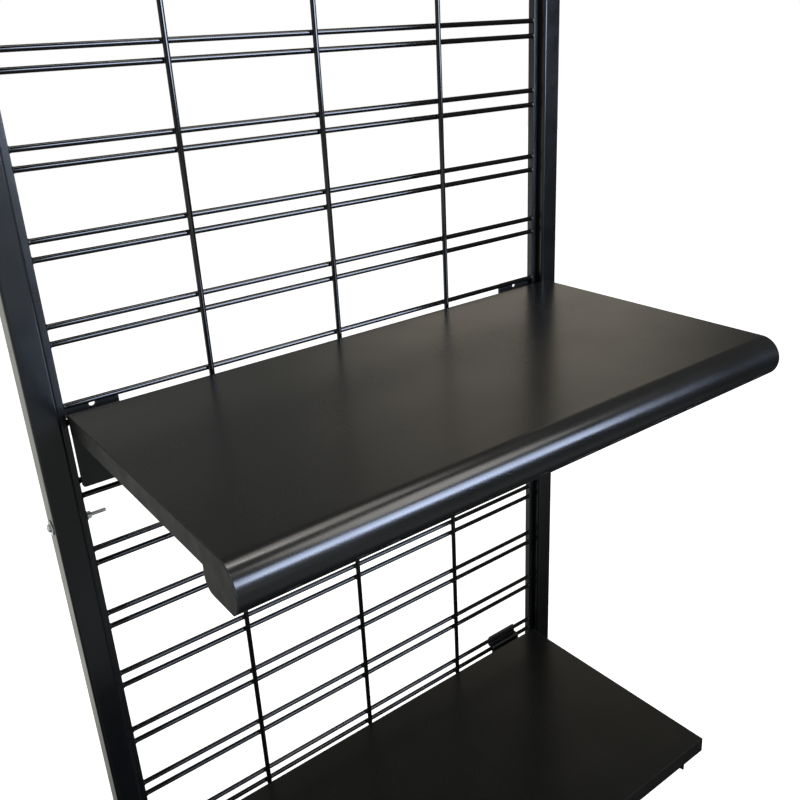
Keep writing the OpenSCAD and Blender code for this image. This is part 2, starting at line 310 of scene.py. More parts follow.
def powder_coat(name, dark, light, rough, peel=0.00002, wear=0.25):
    """Sprayed and baked paint: orange peel, faint clouding, and with wear, rubbed edges and dust."""
    grey = (0.05, 0.052, 0.054)
    f = Finish(name)
    f.set(IOR=1.5)
    cloud = f.remap(f.noise(9, 3), 0.3, 0.7, 0.0, 1.0)
    color = f.blend(cloud, dark, light)
    roughness = f.remap(f.noise(38, 4), 0.3, 0.7, rough * 0.82, rough * 1.2)
    if wear:
        rubbed = f.math("MULTIPLY", f.edges(0.0012), f.remap(f.noise(120, 3), 0.42, 0.62, 0.0, wear))
        color = f.blend(rubbed, color, grey)
        roughness = f.math("ADD", roughness, f.math("MULTIPLY", rubbed, 0.2))
        dust = f.remap(f.noise(1400, 1), 0.70, 0.76, 0.0, 0.25)
        color = f.blend(dust, color, grey)
    f.bump(f.noise(420, 2), peel)
    return f.done(color, roughness)


def foil(name, scuffs=True):
    """Satin black foil on board: fine pebble grain, cloudy gloss, hairline scuffs on the nose."""
    f = Finish(name)
    f.set(IOR=1.5)
    cloud = f.remap(f.noise(7, 4), 0.3, 0.7, 0.0, 1.0)
    color = f.blend(cloud, (0.0050, 0.0052, 0.0048), (0.0078, 0.0078, 0.0072))
    roughness = f.remap(f.noise(16, 5), 0.3, 0.7, 0.235, 0.285)
    if scuffs:
        split = f.node("ShaderNodeSeparateXYZ")
        f.link(f.coords, split.inputs[0])
        # handled front of the nose, a little smoother
        polished = f.remap(split.outputs["Y"], -0.232, -0.246, 0.0, 0.03)
        roughness = f.math("SUBTRACT", roughness, polished)
    grain = f.noise(1900, 2)
    speck = f.remap(grain, 0.66, 0.74, 0.0, 0.35)
    color = f.blend(speck, color, (0.030, 0.030, 0.028))
    if scuffs:
        # short hairlines in patches, below the middle of the nose
        hair = f.noise(1.0, 2, 0.55, f.stretched((26, 900, 900)))
        patch = f.remap(f.noise(22, 2), 0.50, 0.66, 0.0, 1.0)
        line = f.math("MULTIPLY", f.remap(hair, 0.66, 0.72, 0.0, 1.0), patch)
        low = f.remap(split.outputs["Z"], 1.008, 1.000, 0.0, 1.0)
        line = f.math("MULTIPLY", line, low)
        # one long broken line at a fixed height
        rubbed = f.math("COMPARE", split.outputs["Z"], 0.9962)
        rubbed.node.inputs[2].default_value = 0.00035
        breaks = f.remap(f.noise(1.0, 3, 0.6, f.stretched((45, 8, 60))), 0.50, 0.60, 0.0, 1.0)
        line = f.math("MAXIMUM", line, f.math("MULTIPLY", rubbed, breaks))
        color = f.blend(f.math("MULTIPLY", line, 0.7), color, (0.12, 0.125, 0.13))
        roughness = f.math("ADD", roughness, f.math("MULTIPLY", line, 0.25))
        f.bump(line, 0.00001)
    f.bump(grain, 0.000009)
    f.bump(f.noise(300, 2), 0.000004)
    return f.done(color, roughness)


def edge_band(name):
    """Matt dark edge tape, slightly mottled, lighter along its trimmed edges."""
    f = Finish(name)
    f.set(IOR=1.3)
    cloud = f.remap(f.noise(30, 4), 0.3, 0.7, 0.0, 1.0)
    color = f.blend(cloud, (0.011, 0.012, 0.011), (0.016, 0.017, 0.0155))
    trimmed = f.math("MULTIPLY", f.edges(0.0008), f.remap(f.noise(90, 3), 0.3, 0.6, 0.3, 0.8))
    color = f.blend(trimmed, color, (0.055, 0.055, 0.052))
    roughness = f.remap(f.noise(60, 3), 0.3, 0.7, 0.50, 0.62)
    f.bump(f.noise(1200, 2), 0.000012)
    return f.done(color, roughness)


def zinc(name):
    """Bright zinc plate with a faint grain, dulled in patches."""
    f = Finish(name)
    f.set(Metallic=0.7)
    cloud = f.remap(f.noise(240, 4), 0.3, 0.7, 0.0, 1.0)
    color = f.blend(cloud, (0.74, 0.75, 0.76), (0.90, 0.91, 0.92))
    stain = f.remap(f.noise(90, 3), 0.58, 0.72, 0.0, 0.5)
    color = f.blend(stain, color, (0.42, 0.40, 0.36))
    roughness = f.remap(f.noise(500, 3), 0.3, 0.7, 0.22, 0.40)
    f.bump(f.noise(3500, 2), 0.000008)
    return f.done(color, roughness)


def plastic(name, dark, light, rough, grain):
    """Moulded plastic: even colour, fine spark-eroded grain, faint flow marks."""
    f = Finish(name)
    f.set(IOR=1.49)
    flow = f.remap(f.noise(1.0, 3, 0.6, f.stretched((60, 60, 220))), 0.3, 0.7, 0.0, 1.0)
    color = f.blend(flow, dark, light)
    roughness = f.remap(f.noise(400, 3), 0.3, 0.7, rough - 0.05, rough + 0.07)
    f.bump(f.noise(1700, 3), grain)
    return f.done(color, roughness)


def make_materials():
    return {
        "post": powder_coat("post_paint", (0.0034, 0.0038, 0.0042), (0.0060, 0.0066, 0.0072), 0.22),
        "bar": powder_coat("bar_paint", (0.0032, 0.0034, 0.0036), (0.0052, 0.0056, 0.0060), 0.32),
        "wire": powder_coat("wire_paint", (0.0026, 0.0026, 0.0025), (0.0042, 0.0041, 0.0039), 0.06,
                            peel=0.000003, wear=0),
        "weld": powder_coat("weld_paint", (0.0034, 0.0034, 0.0033), (0.0055, 0.0055, 0.0052), 0.30,
                            peel=0.00012, wear=0),
        "bracket": powder_coat("bracket_paint", (0.0034, 0.0035, 0.0034), (0.0056, 0.0057, 0.0055), 0.38),
        "foil": foil("shelf_foil"),
        "foil_plain": foil("shelf_foil_flat", scuffs=False),
        "band": edge_band("edge_tape"),
        "zinc": zinc("zinc_plate"),
        "cap": plastic("cap_plastic", (0.010, 0.010, 0.010), (0.014, 0.014, 0.014), 0.42, 0.00001),
        "pad": plastic("pad_plastic", (0.012, 0.012, 0.012), (0.018, 0.018, 0.017), 0.55, 0.00003),
    }


# ---------------------------------------------------------------- mesh building

class Shape:
    """Closed shells gathered into one mesh, in millimetres."""

    def __init__(self):
        self.verts, self.faces = [], []

    def loft(self, rings, loop=False):
        base, n, m = len(self.verts), len(rings[0]), len(rings)
        for ring in rings:
            self.verts += [tuple(p) for p in ring]
        for i in range(m if loop else m - 1):
            a, b = base + i * n, base + ((i + 1) % m) * n
            for k in range(n):
                self.faces.append((a + k, a + (k + 1) % n, b + (k + 1) % n, b + k))
        if not loop:
            self.faces.append(tuple(base + k for k in reversed(range(n))))
            self.faces.append(tuple(base + (m - 1) * n + k for k in range(n)))

    def sweep(self, axis, centre, rings, loop=False):
        """Rings of (u, v) with a position along the axis."""
        self.loft([[on_axis(axis, centre, u, v, w) for u, v in ring] for ring, w in rings], loop)

    def solid(self, axis, centre, section, w0, w1, bevel=0.3, ends=(True, True)):
        """Prism whose section shrinks by the bevel at its ends."""
        over, plain = round_over(bevel), round_over(0)
        rings = [(section(i), w0 + d) for i, d in (over if ends[0] else plain)]
        rings += [(section(i), w1 - d) for i, d in reversed(over if ends[1] else plain)]
        self.sweep(axis, centre, rings)

    def pipe(self, axis, centre, outer, inner, w0, w1, bevel=0.25):
        """Tube: outer skin up, inner skin down, both cut ends eased."""
        over = round_over(bevel)
        rings = [(outer(i), w0 + d) for i, d in over] + [(outer(i), w1 - d) for i, d in reversed(over)]
        rings += [(inner(-i), w1 - d) for i, d in over] + [(inner(-i), w0 + d) for i, d in reversed(over)]
        self.sweep(axis, centre, rings, loop=True)

    def turned(self, axis, centre, profile, n=32, loop=False):
        """Turned part: the profile holds radii, or radius functions of the angle, and heights."""
        rings = []
        for radius, w in profile:
            ring = []
            for k in range(n):
                a = 2 * math.pi * k / n
                r = radius(a) if callable(radius) else radius
                h = w(a) if callable(w) else w
                ring.append(on_axis(axis, centre, r * math.cos(a), r * math.sin(a), h))
            rings.append(ring)
        self.loft(rings, loop)

    def blob(self, centre, radii, rng, rough=0.15, n=10, m=6):
        """Small uneven lump."""
        rings = []
        for i in range(1, m):
            t = math.pi * i / m
            ring = []
            for k in range(n):
                a = 2 * math.pi * k / n
                s = 1 + rng.uniform(-rough, rough)
                ring.append((centre[0] + radii[0] * s * math.sin(t) * math.cos(a),
                             centre[1] + radii[1] * s * math.sin(t) * math.sin(a),
                             centre[2] + radii[2] * s * math.cos(t)))
            rings.append(ring)
        self.loft(rings)

    def mesh(self, name):
        made = bpy.data.meshes.new(name)
        made.from_pydata([(x * MM, y * MM, z * MM) for x, y, z in self.verts], [], self.faces)
        return made


def on_axis(axis, centre, u, v, w):
    """Point at (u, v) across the axis and w along it."""
    x, y, z = centre
    if axis == "x":
        return (x + w, y + u, z + v)
    if axis == "y":
        return (x + u, y + w, z + v)
    return (x + u, y + v, z + w)


def round_over(bevel, steps=3):
    """(inset, distance from the end) pairs for a rounded arris, from the end face outwards."""
    if not bevel:
        return [(0, 0)]
    angles = [math.radians(90 * k / steps) for k in range(steps + 1)]
    return [(bevel * (1 - math.sin(a)), bevel * (1 - math.cos(a))) for a in angles]


def rounded(w, h, r, seg=6):
    """Section function of a rectangle with round corners; the inset shrinks it."""
    def section(inset):
        q = max(r - inset, 0.05)
        pts = []
        for sx, sy, start in ((1, 1, 0), (-1, 1, 90), (-1, -1, 180), (1, -1, 270)):
            for k in range(seg + 1):
                a = math.radians(start + 90 * k / seg)
                pts.append((sx * (w / 2 - inset - q) + q * math.cos(a),
                            sy * (h / 2 - inset - q) + q * math.sin(a)))
        return pts
    return section


def disc(r, n):
    """Section function of a circle."""
    def section(inset):
        angles = [2 * math.pi * k / n for k in range(n)]
        return [((r - inset) * math.cos(a), (r - inset) * math.sin(a)) for a in angles]
    return section


def outline(points):
    """Section function of any outline; each corner moves in along its bisector."""
    area = sum(a[0] * b[1] - b[0] * a[1] for a, b in zip(points, points[1:] + points[:1]))
    side = 1 if area > 0 else -1

    def section(inset):
        moved = []
        for k, here in enumerate(points):
            last, after = points[k - 1], points[(k + 1) % len(points)]
            a = Vector((here[0] - last[0], here[1] - last[1])).normalized()
            b = Vector((after[0] - here[0], after[1] - here[1])).normalized()
            na, nb = Vector((-a.y, a.x)) * side, Vector((-b.y, b.x)) * side
            corner = (na + nb) / max(1 + na.dot(nb), 0.3)
            moved.append((here[0] + corner.x * inset, here[1] + corner.y * inset))
        return moved
    return section


def hexagon(flats):
    """Radius of a six-sided nut at an angle."""
    return lambda a: flats / 2 / math.cos((a + math.pi / 6) % (math.pi / 3) - math.pi / 6)


def arc(cx, cy, r, a0, a1, n):
    """Points along an arc from angle a0 to a1, in degrees."""
    return [(cx + r * math.cos(math.radians(a0 + (a1 - a0) * k / n)),
             cy + r * math.sin(math.radians(a0 + (a1 - a0) * k / n))) for k in range(n + 1)]


def hex_profile(flats, w0, w1, hole):
    """Nut or bolt head between two heights, with the corners chamfered on both faces."""
    out = hexagon(flats)
    rim = flats / 2 * 0.94

    def drop(a):
        return (out(a) - rim) * 0.5

    profile = [(rim, w0), (out, lambda a: w0 + drop(a)), (out, lambda a: w1 - drop(a)), (rim, w1)]
    if hole:
        profile += [(hole + 0.4, w1), (hole, w1 - 0.4), (hole, w0 + 0.4), (hole + 0.4, w0)]
    return profile


def threaded(shape, axis, centre, r, depth, pitch, w0, w1, n=16, steps=6):
    """Screw thread as a real helix, with a chamfered free end at w0."""
    count = max(int(abs(w1 - w0) / pitch * steps), 2)
    rings = []
    for i in range(count + 1):
        w = w0 + (w1 - w0) * i / count
        ease = min(1.0, abs(w - w0) / pitch)
        ring = []
        for k in range(n):
            phase = (w / pitch - k / n) % 1.0
            groove = abs(phase * 2 - 1)
            radius = r - depth * max(groove, (1 - ease) * 1.2)
            a = 2 * math.pi * k / n
            ring.append(on_axis(axis, centre, radius * math.cos(a), radius * math.sin(a), w))
        rings.append(ring)
    shape.loft(rings)


def add_object(name, mesh):
    made = bpy.data.objects.new(name, mesh)
    bpy.context.scene.collection.objects.link(made)
    return made


def shade_smooth(mesh, sharp=None):
    """Smooth shading, broken at edges sharper than an angle in degrees."""
    mesh.polygons.foreach_set("use_smooth", [True] * len(mesh.polygons))
    if sharp:
        mesh.set_sharp_from_angle(angle=math.radians(sharp))


def stand_for(piece, nodes, body):
    """Makes a piece ride on a body and stand for its CAD nodes."""
    normals = piece.modifiers.new("normals", "WEIGHTED_NORMAL")
    normals.keep_sharp = True
    if nodes:
        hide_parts(*nodes)
    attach(piece, body)


def make_piece(shape, name, nodes, body, material, sharp=30.0):
    """Turns a shape into an object for one CAD node, several, or none."""
    mesh = shape.mesh(name)
    bm = bmesh.new()
    bm.from_mesh(mesh)
    bmesh.ops.recalc_face_normals(bm, faces=bm.faces)
    bm.to_mesh(mesh)
    bm.free()
    shade_smooth(mesh, sharp)
    piece = add_object(name, mesh)
    mesh.materials.append(material)
    stand_for(piece, (nodes,) if isinstance(nodes, str) else nodes, body)
    return piece


def box_mm(node):
    """Corners of a CAD node's box."""
    lo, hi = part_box(node)
    return [c / MM for c in lo], [c / MM for c in hi]


def middle(lo, hi):
    return [(a + b) / 2 for a, b in zip(lo, hi)]


# ---------------------------------------------------------------- the frame

def domed(face, seat, rim, rise, end=1):
    """Rings of a plastic end cap: straight from its seat to its rim, then rounded over."""
    over = 1.3
    rings = [(face(0.4), seat), (face(0.0), seat + end * 0.3), (face(0.0), seat + end * rim)]
    for angle in (30, 60, 90):
        a = math.radians(angle)
        rings.append((face(over * (1 - math.cos(a))), seat + end * (rim + rise * math.sin(a))))
    return rings


def build_posts(mats):
    for side in ("left", "right"):
        lo, hi = box_mm(side + "_post")
        cx, cy, _ = middle(lo, hi)
        w = hi[0] - lo[0]
        bore = w - 2 * POST_WALL
        post = Shape()
        post.pipe("z", (cx, cy, 0), rounded(w, w, POST_R), rounded(bore, bore, 1.5), lo[2], hi[2])
        make_piece(post, side + "_post_tube", side + "_post", "frame", mats["post"])

        clo, chi = box_mm(side + "_post_cap")
        cap = Shape()
        top, shoulder = chi[2], hi[2]
        face = rounded(w, w, POST_R)
        cap.sweep("z", (cx, cy, 0), domed(face, shoulder, top - 1.3 - shoulder, 1.1) + [(face(5.0), top)])
        cap.pipe("z", (cx, cy, 0), rounded(bore - 0.2, bore - 0.2, 1.4), rounded(bore - 3.2, bore - 3.2, 1.0),
                 clo[2], shoulder + 0.5, 0.8)
        make_piece(cap, side + "_cap", side + "_post_cap", "frame", mats["cap"])

        blo, bhi = box_mm(side + "_edge_bar")
        bar = Shape()
        bar.solid("z", (*middle(blo, bhi)[:2], 0), rounded(bhi[0] - blo[0], bhi[1] - blo[1], 1.2),
                  blo[2], bhi[2], 0.5)
        make_piece(bar, side + "_bar", side + "_edge_bar", "frame", mats["bar"])


def build_wires(mats):
    rng = random.Random(4)
    lo, hi = box_mm("horizontal_wires")
    vlo, vhi = box_mm("vertical_wires")
    y = (lo[1] + hi[1]) / 2
    front_y = (vlo[1] + vhi[1]) / 2
    upper = hi[2] - WIRE_R
    pairs = round((hi[2] - lo[2] - PAIR_GAP - 2 * WIRE_R) / PAIR_PITCH) + 1
    heights = [upper - i * PAIR_PITCH - g * PAIR_GAP for i in range(pairs) for g in (0, 1)]
    bay = (vhi[0] - vlo[0] - 2 * WIRE_R) / 2

    across, upright, welds = Shape(), Shape(), Shape()
    for z in heights:
        across.solid("x", (0, y, z), disc(WIRE_R, 18), lo[0], hi[0], 0.3)
        for side in (-1, 1):
            end = hi[0] if side > 0 else lo[0]
            # uneven collar where the wire meets the bar, then two drops of spatter on the bar
            collar = []
            for reach, r in ((0.0, 3.3), (0.4, 3.2), (0.9, 3.0), (1.4, 2.8), (1.9, 2.6)):
                uneven = [r * (1 + rng.uniform(-0.05, 0.05)) for _ in range(12)]
                collar.append([(end - side * reach, y + q * math.cos(2 * math.pi * k / 12),
                                z + q * math.sin(2 * math.pi * k / 12)) for k, q in enumerate(uneven)])
            welds.loft(collar)
            for _ in range(2):
                drop_z, size = rng.uniform(-4.6, 4.6), rng.uniform(0.3, 0.6)
                welds.blob((end + side * 0.2, y + rng.uniform(0.5, 4.5), z + drop_z),
                           (size * 0.8, size, size), rng, 0.2, 8, 5)
        for i in (-1, 0, 1):
            welds.blob((i * bay, (y + front_y) / 2, z), (3.0, 1.7, 3.0), rng, 0.10, 12, 6)
    for i in (-1, 0, 1):
        upright.solid("z", (i * bay, front_y, 0), disc(WIRE_R, 18), vlo[2], vhi[2], 0.4)
    make_piece(across, "wires_across", "horizontal_wires", "frame", mats["wire"])
    make_piece(upright, "wires_upright", "vertical_wires", "frame", mats["wire"])
    make_piece(welds, "wire_welds", (), "frame", mats["weld"], 60)


def build_panel_bolts(mats):
    lo, hi = box_mm("panel_bolts")
    wlo, whi = box_mm("panel_washers")
    y = (lo[1] + hi[1]) / 2
    low, high = wlo[2] + WASHER_R, whi[2] - WASHER_R
    bar_x, post_x = box_mm("right_edge_bar")[0][0], box_mm("right_post")[1][0]
    bolts, washers, nuts = Shape(), Shape(), Shape()
    for side in (-1, 1):
        # from the outside inwards: top of the head, its seat, the post, the bar, the thread's tip
        top, head, face, seat = side * hi[0], side * whi[0], side * post_x, side * bar_x
        tip = side * (bar_x - THIN_WASHER - NUT_T - BOLT_TAIL)
        for z in (low, (low + high) / 2, high):
            place = (0, y, z)
            threaded(bolts, "x", place, BOLT_R, 0.32, 0.7, tip, side * (bar_x + 3), 16, 6)
            bolts.turned("x", place, [(BOLT_R - 0.02, seat), (BOLT_R - 0.02, head - side * 0.2)], 20)
            bolts.turned("x", place, [
                (3.7, head), (4.0, head + side * 0.35), (4.0, head + side * 1.0), (3.8, head + side * 1.5),
                (3.3, head + side * 2.05), (2.7, head + side * 2.4), (2.1, top), (hexagon(2.6), top),
                (hexagon(2.6), top - side * 1.5), (0.3, top - side * 1.9)], 36)
            washers.turned("x", place, [
                (WASHER_R - 0.3, face), (WASHER_R, face + side * 0.3), (WASHER_R, head - side * 0.35),
                (WASHER_R - 0.35, head), (2.5, head), (2.2, head - side * 0.25), (2.2, face)], 40, loop=True)
            inner = seat - side * THIN_WASHER
            washers.turned("x", place, [
                (4.4, seat), (4.6, seat - side * 0.25), (4.6, seat - side * 0.75), (4.4, inner),
                (2.2, inner), (2.2, seat)], 28, loop=True)
            ends = (inner - side * NUT_T, inner)[::side]
            nuts.turned("x", place, hex_profile(7.0, *ends, BOLT_R + 0.02), 36, loop=True)
    make_piece(bolts, "bolts", "panel_bolts", "frame", mats["zinc"])
    make_piece(washers, "washers", "panel_washers", "frame", mats["zinc"])
    make_piece(nuts, "nuts", "panel_nuts", "frame", mats["zinc"])


def build_base(mats):
    plugs = Shape()
    for side in ("left", "right"):
        lo, hi = box_mm(side + "_leg")
        cx, cy, cz = middle(lo, hi)
        w, h = hi[0] - lo[0], hi[2] - lo[2]
        bore_w, bore_h = w - 2 * LEG_WALL, h - 2 * LEG_WALL
        leg = Shape()
        leg.pipe("y", (cx, 0, cz), rounded(w, h, POST_R), rounded(bore_w, bore_h, 1.2), lo[1], hi[1])
        make_piece(leg, side + "_leg_tube", side + "_leg", "frame", mats["post"])
        for end in (-1, 1):
            at = hi[1] if end > 0 else lo[1]
            plugs.sweep("y", (cx, 0, cz), domed(rounded(w, h, POST_R), at, 1.7, 1.3, end))
            low, high = sorted((at + end * 0.5, at - end * 10))
            plugs.pipe("y", (cx, 0, cz), rounded(bore_w - 0.2, bore_h - 0.2, 1.1),
                       rounded(bore_w - 3.4, bore_h - 3.4, 0.8), low, high, 0.8)

        slo, shi = box_mm(side + "_stub")
        sx, sy, _ = middle(slo, shi)
        sw = shi[0] - slo[0]
        stub = Shape()
        stub.pipe("z", (sx, sy, 0), rounded(sw, sw, 2.5), rounded(sw - 4, sw - 4, 0.6),
                  slo[2], shi[2], 0.4)
        make_piece(stub, side + "_stub_tube", side + "_stub", "frame", mats["post"])
    make_piece(plugs, "leg_end_plugs", "leg_plugs", "frame", mats["cap"])

    tip = box_mm("stub_bolts")[1][1]
    nlo, nhi = box_mm("stub_nuts")
    plo, phi = box_mm("right_post")
    front, back = plo[1], phi[1]
    post_x, z = (plo[0] + phi[0]) / 2, (nlo[2] + nhi[2]) / 2
    bolts, nuts = Shape(), Shape()
    for x in (-post_x, post_x):
        place = (x, 0, z)
        dished = [(0.5, front - 3.4), (3.3, front - 3.4)]
        bolts.turned("y", place, dished + hex_profile(10, front - 4, front, 0), 36)
        bolts.turned("y", place, [(2.95, front - 0.5), (2.95, back - 1)], 20)
        threaded(bolts, "y", place, 3.0, 0.45, 1.0, tip, back - 3, 18, 6)
        nuts.turned("y", place, hex_profile(10, nlo[1], nhi[1], 3.02), 36, loop=True)
    make_piece(bolts, "stub_bolt_set", "stub_bolts", "frame", mats["zinc"])
    make_piece(nuts, "stub_nut_set", "stub_nuts", "frame", mats["zinc"])

    ilo, ihi = box_mm("foot_inserts")
    inserts = Shape()
    for place in ("front_left", "front_right", "rear_left", "rear_right"):
        build_foot(place, mats)
        cx, cy, _ = middle(*box_mm(place + "_foot"))
        inserts.turned("z", (cx, cy, 0), [
            (8.4, ilo[2]), (9.0, ilo[2] + 0.6), (9.0, ihi[2] - 0.6), (8.4, ihi[2]),
            (5.6, ihi[2]), (5.1, ihi[2] - 0.5), (5.1, ilo[2] + 0.5), (5.6, ilo[2])], 32, loop=True)
    make_piece(inserts, "insert_nuts", "foot_inserts", "frame", mats["zinc"])


def build_foot(place, mats):
    body = place + "_leveller"
    flo, fhi = box_mm(place + "_foot")
    plo, phi = box_mm(place + "_pad")
    cx, cy, _ = middle(plo, phi)
    hex_top = box_mm("left_leg")[0][2] - 0.3
    foot = Shape()
    foot.turned("z", (cx, cy, 0), hex_profile(17, flo[2], hex_top, 0), 48)
    threaded(foot, "z", (cx, cy, 0), 5.0, 0.75, 1.5, fhi[2], hex_top - 1, 24, 8)
    make_piece(foot, place + "_screw", place + "_foot", body, mats["zinc"])
    pad = Shape()
    r = (phi[0] - plo[0]) / 2
    pad.turned("z", (cx, cy, 0), [
        (r - 5, 0.9), (r - 4.6, 0.3), (r - 4.0, 0.0), (r - 1.0, 0.0), (r - 0.3, 0.3), (r, 1.0), (r, 5.2),
        (r - 0.25, 5.8), (r - 0.9, 6.4), (r - 4.4, 8.6), (r - 5.2, 9.0), (r - 6.0, 9.0)], 56)
    make_piece(pad, place + "_base", place + "_pad", body, mats["pad"])


# ---------------------------------------------------------------- brackets

def hook_path():
    """Centre line (y, z) of a hook plate in side view, from the lip's top edge to the plate's lower
    edge. The origin is the upper wire's centre."""
    lip, plate, step = 4.3, -4.3, -11.9
    points = [(lip, 1.0), (lip, step + BEND_R)]
    points += arc(lip - BEND_R, step + BEND_R, BEND_R, 0, -90, 6)[1:]
    points += arc(plate + BEND_R, step - BEND_R, BEND_R, 90, 180, 6)
    points += [(plate, -PLATE_DROP)]
    return points


def wire_of(hook):
    """Centre (y, z) of the upper wire that a hook plate hangs on."""
    lo, hi = box_mm(hook)
    lip_back = 4.3 + STEEL_T / 2
    return hi[1] - lip_back, lo[2] + PLATE_DROP


def build_hook(node, body, mats):
    """Bent steel plate made from its flat outline, then given its thickness and eased edges."""
    lo, hi = box_mm(node)
    width = hi[0] - lo[0]
    y0, z0 = wire_of(node)
    r = 3.0
    path = hook_path()
    bm = bmesh.new()

    def vert(x, p):
        return bm.verts.new(((lo[0] + x) * MM, (y0 + p[0]) * MM, (z0 + p[1]) * MM))

    # lip, with rounded upper corners and the hole
    lip_top, lip_low = path[0], path[1]
    rim = arc(width - r, lip_top[1] - r, r, 0, 90, 6) + arc(r, lip_top[1] - r, r, 90, 180, 6)
    ring = [vert(x, (lip_top[0], z)) for x, z in rim]
    right, left = vert(width, lip_low), vert(0, lip_low)
    ring = [right] + ring + [left]
    hole = [vert(x, (lip_top[0], z)) for x, z in arc(width / 2, -5.3, 3.0, 0, 360, 24)[:-1]]
    edges = [bm.edges.new((a, b)) for a, b in zip(ring, ring[1:] + ring[:1])]
    edges += [bm.edges.new((a, b)) for a, b in zip(hole, hole[1:] + hole[:1])]
    bmesh.ops.triangle_fill(bm, use_beauty=True, use_dissolve=False, edges=edges)

    # bends, then the plate with rounded lower corners
    for p in path[2:-1]:
        next_left, next_right = vert(0, p), vert(width, p)
        bm.faces.new((left, right, next_right, next_left))
        left, right = next_left, next_right
    low = path[-1]
    corners = arc(width - r, low[1] + r, r, 0, -90, 6) + arc(r, low[1] + r, r, -90, -180, 6)
    bm.faces.new([left, right] + [vert(x, (low[0], z)) for x, z in corners])
    bmesh.ops.recalc_face_normals(bm, faces=bm.faces)

    mesh = bpy.data.meshes.new(node + "_plate")
    bm.to_mesh(mesh)
    bm.free()
    mesh.materials.append(mats["bracket"])
    shade_smooth(mesh)
    piece = add_object(node + "_plate", mesh)
    thick = piece.modifiers.new("thickness", "SOLIDIFY")
    thick.thickness = STEEL_T * MM
    thick.offset = 0.0
    thick.use_even_offset = True
    ease = piece.modifiers.new("eased_edges", "BEVEL")
    ease.width = 0.35 * MM
    ease.segments = 2
    ease.limit_method = "ANGLE"
    ease.angle_limit = math.radians(50)
    stand_for(piece, (node,), body)


def build_arm(node, hook, body, mats):
    """Tapered blade with a bent-over flange, welded to the right-hand edge of its plate."""
    lo, hi = box_mm(node)
    wire_y, wire_z = wire_of(hook)
    level = node.split("_")[0]
    slope = math.tan(math.radians(SHELF_TILT[level]))
    flange_left, tip, bottom = lo
    right, root = hi[:2]
    t, bend, e = STEEL_T, 3.0, 0.3
    corner = root - 14.0
    flange_front, flange_rear = tip + 3, root - 6.45

    def top_edge(y):
        return wire_z - SEAT_DROP - 0.3 - (y - wire_y + SHELF_GAP[level]) * slope

    tip_low = top_edge(tip) - ARM_TIP_H

    def low_edge(y):
        return bottom if y >= corner else bottom + (tip_low - bottom) * (corner - y) / (corner - tip)

    def bent(y, i):
        """Section of blade and flange together, shrunk by an inset."""
        x, top = right, top_edge(y)
        pts = [(flange_left + i, top - i), (x - bend, top - i)]
        pts += arc(x - bend, top - bend, bend - i, 67.5, 22.5, 2)
        pts += [(x - i, top - bend), (x - i, low_edge(y) + i), (x - t + i, low_edge(y) + i),
                (x - t + i, top - t - 0.5), (x - t - 0.15, top - t - 0.15), (x - t - 0.5, top - t + i),
                (flange_left + i, top - t + i)]
        return [(px, y, pz) for px, pz in pts]

    arm = Shape()
    stops = [(flange_front, e), (flange_front + e, 0), (corner, 0), (flange_rear - e, 0), (flange_rear, e)]
    arm.loft([bent(y, inset) for y, inset in stops])

    def blade(y0, y1):
        """The blade alone, where there is no flange."""
        rings = []
        for x, inset in ((right - t, e), (right - t + e, 0), (right - e, 0), (right, e)):
            rings.append([(x, y0 + inset, low_edge(y0) + inset), (x, y0 + inset, top_edge(y0) - inset),
                          (x, y1 - inset, top_edge(y1) - inset), (x, y1 - inset, low_edge(y1) + inset)])
        arm.loft(rings)

    blade(tip, flange_front + 2)
    blade(flange_rear - 2, root)

    # three short rows of weld beads down the plate
    rng = random.Random(len(node))
    for start in (-30, -52, -70):
        for k in range(5):
            arm.blob((right - t - 0.6, root - 0.9, wire_z + start + k * 2.1 - 2),
                     (1.9, 1.9, 1.5), rng, 0.12, 10, 6)
    piece = make_piece(arm, node + "_blade", node, body, mats["bracket"])
    hole_x = flange_left + 18 / 2 - 1.2
    holes = [(hole_x, wire_y + y, top_edge(wire_y + y)) for y in (-60, -240)]
    cut_holes(piece, holes, 2.3)


def cut_holes(piece, centres, r):
    """Drills upright holes, then keeps the result as the piece's mesh."""
    drill = Shape()
    for x, y, z in centres:
        drill.solid("z", (x, y, z), disc(r, 28), -8, 8, 0)
    tool = add_object("drill", drill.mesh("drill"))
    cut = piece.modifiers.new("holes", "BOOLEAN")
    cut.object = tool
    cut.operation = "DIFFERENCE"
    cut.solver = "EXACT"
    cut.use_self = True
    normals = piece.modifiers["normals"]
    normals.show_viewport = normals.show_render = False
    bpy.context.view_layer.update()
    ready = piece.evaluated_get(bpy.context.evaluated_depsgraph_get())
    result = bpy.data.meshes.new_from_object(ready)
    piece.modifiers.remove(cut)
    old, piece.data = piece.data, result
    bpy.data.meshes.remove(old)
    bpy.data.objects.remove(tool)
    shade_smooth(result, 30)
    normals.show_viewport = normals.show_render = True


# ---------------------------------------------------------------- shelves

def leaning(level, points):
    """Turns a shelf's side view, drawn from its rear lower edge (y, z), to its place and slope."""
    wire_y, wire_z = wire_of(level + "_left_hook")
    y0, z0 = wire_y - SHELF_GAP[level], wire_z - SEAT_DROP
    a = math.radians(SHELF_TILT[level])
    return [(y0 + y * math.cos(a) + z * math.sin(a), z0 - y * math.sin(a) + z * math.cos(a))
            for y, z in points]


